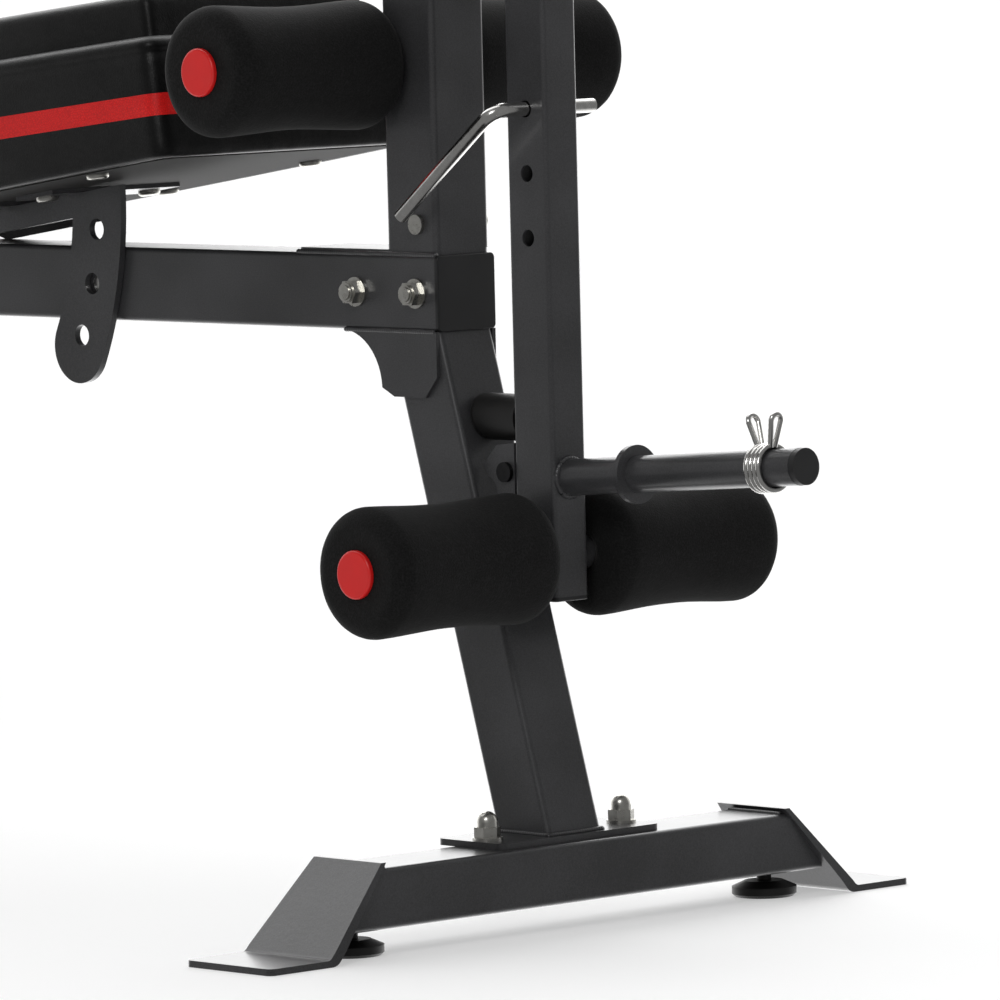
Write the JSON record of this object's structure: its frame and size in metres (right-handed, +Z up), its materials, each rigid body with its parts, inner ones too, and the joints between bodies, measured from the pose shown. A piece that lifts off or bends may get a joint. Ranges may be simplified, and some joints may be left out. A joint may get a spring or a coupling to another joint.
{
  "type": "adjustable weight bench",
  "caption": "Adjustable weight bench: padded seat and backrest on a steel beam, with a hinged leg developer, foam rollers and a weight post.",
  "frame": {"origin": "on the floor, below the middle of the bench's overall length and width, with the backrest at its rest incline", "axes": "+X along the bench towards the leg developer, +Y across the bench, +Z up"},
  "size_m": [1.5522, 0.602, 0.9074],
  "materials": {
    "frame_paint": "semi-gloss, hammered",
    "zinc_steel": "bright plated",
    "black_plastic": "satin",
    "red_plastic": "gloss",
    "black_rubber": "matte",
    "roller_foam": "fine closed-cell foam",
    "pad_cover": "grained vinyl over foam",
    "board": "black-faced board"
  },
  "bodies": {
    "bench_frame": {"front_crossbar": "frame_paint", "rear_crossbar": "frame_paint", "front_end_plates": "frame_paint", "rear_end_plates": "frame_paint", "front_post": "frame_paint", "rear_post": "frame_paint", "post_base_plates": "frame_paint", "post_gussets": "frame_paint", "main_beam": "frame_paint", "tube_caps": "black_plastic", "beam_bolts": "zinc_steel", "flange_nuts": "zinc_steel", "carriage_bolts": "zinc_steel", "acorn_nuts": "zinc_steel", "upper_post_foot": "frame_paint", "upper_post": "frame_paint", "upper_post_bolt": "zinc_steel", "upper_bar_saddle": "frame_paint", "upper_roller_bar": "frame_paint", "upper_roller_caps": "red_plastic", "arm_bracket_plates": "frame_paint", "pivot_bolts": "zinc_steel", "hinge_ears": "frame_paint", "lock_pin_sleeves": "frame_paint"},
    "leg_developer": {"leg_arm": "frame_paint", "arm_pivot_sleeve": "frame_paint", "arm_end_caps": "black_plastic", "lower_roller_bar": "frame_paint", "lower_roller_caps": "red_plastic", "weight_post": "frame_paint", "weight_stop_disc": "frame_paint", "weight_post_cap": "black_plastic", "arm_bumper": "black_rubber", "hook_plate": "frame_paint", "hook_bolt": "zinc_steel"},
    "upper_roller_l": {"upper_roller_left": "roller_foam"},
    "upper_roller_r": {"upper_roller_right": "roller_foam"},
    "lower_roller_l": {"lower_roller_left": "roller_foam"},
    "lower_roller_r": {"lower_roller_right": "roller_foam"},
    "collar": {"spring_collar": "zinc_steel"},
    "arm_pin": {"l_pin": "zinc_steel"},
    "seat_pin": {"seat_lock_pin": "zinc_steel", "seat_lock_knob": "black_plastic"},
    "back_pin": {"back_lock_pin": "zinc_steel", "back_lock_knob": "black_plastic"},
    "seat": {"seat_cushion": "pad_cover", "seat_board": "board", "seat_side_plates": "frame_paint", "seat_cross_plates": "frame_paint", "seat_bolts": "zinc_steel"},
    "backrest": {"back_cushion": "pad_cover", "back_board": "board", "back_angle_plates": "frame_paint", "back_rails": "frame_paint", "back_cross_plates": "frame_paint", "back_bolts": "zinc_steel"},
    "foot_front_l": {"front_foot_left": "black_rubber"},
    "foot_front_r": {"front_foot_right": "black_rubber"},
    "foot_rear_l": {"rear_foot_left": "black_rubber"},
    "foot_rear_r": {"rear_foot_right": "black_rubber"}
  },
  "joints": [
    {"name": "leg_arm_swing", "type": "hinge", "parent": "bench_frame", "child": "leg_developer", "pos_m": [0.533, 0, 0.664], "axis": [0, -1, 0], "range_deg": [0, 95]},
    {"name": "seat_tilt", "type": "hinge", "parent": "bench_frame", "child": "seat", "pos_m": [-0.129, 0, 0.4865], "axis": [0, -1, 0], "range_deg": [-9.36, 9.36]},
    {"name": "back_recline", "type": "hinge", "parent": "bench_frame", "child": "backrest", "pos_m": [-0.171, 0, 0.4865], "axis": [0, 1, 0], "range_deg": [-30, 45]},
    {"name": "upper_roller_l_spin", "type": "hinge", "parent": "bench_frame", "child": "upper_roller_l", "pos_m": [0.3905, 0, 0.584], "axis": [0, 1, 0], "continuous": true},
    {"name": "upper_roller_r_spin", "type": "hinge", "parent": "bench_frame", "child": "upper_roller_r", "pos_m": [0.3905, 0, 0.584], "axis": [0, 1, 0], "continuous": true},
    {"name": "lower_roller_l_spin", "type": "hinge", "parent": "leg_developer", "child": "lower_roller_l", "pos_m": [0.533, 0, 0.252], "axis": [0, 1, 0], "continuous": true},
    {"name": "lower_roller_r_spin", "type": "hinge", "parent": "leg_developer", "child": "lower_roller_r", "pos_m": [0.533, 0, 0.252], "axis": [0, 1, 0], "continuous": true},
    {"name": "collar_slide", "type": "slide", "parent": "leg_developer", "child": "collar", "axis": [0.9976, 0, 0.0698], "range_m": [-0.1, 0.06]},
    {"name": "arm_pin_slide", "type": "slide", "parent": "leg_developer", "child": "arm_pin", "axis": [0, -1, 0], "range_m": [0, 0.045]},
    {"name": "seat_pin_slide", "type": "slide", "parent": "bench_frame", "child": "seat_pin", "axis": [0, -1, 0], "range_m": [0, 0.013]},
    {"name": "back_pin_slide", "type": "slide", "parent": "bench_frame", "child": "back_pin", "axis": [0, -1, 0], "range_m": [0, 0.013]},
    {"name": "foot_front_l_screw", "type": "slide", "parent": "bench_frame", "child": "foot_front_l", "axis": [0, 0, 1], "range_m": [0, 0.006]},
    {"name": "foot_front_r_screw", "type": "slide", "parent": "bench_frame", "child": "foot_front_r", "axis": [0, 0, 1], "range_m": [0, 0.006]},
    {"name": "foot_rear_l_screw", "type": "slide", "parent": "bench_frame", "child": "foot_rear_l", "axis": [0, 0, 1], "range_m": [0, 0.006]},
    {"name": "foot_rear_r_screw", "type": "slide", "parent": "bench_frame", "child": "foot_rear_r", "axis": [0, 0, 1], "range_m": [0, 0.006]}
  ]
}
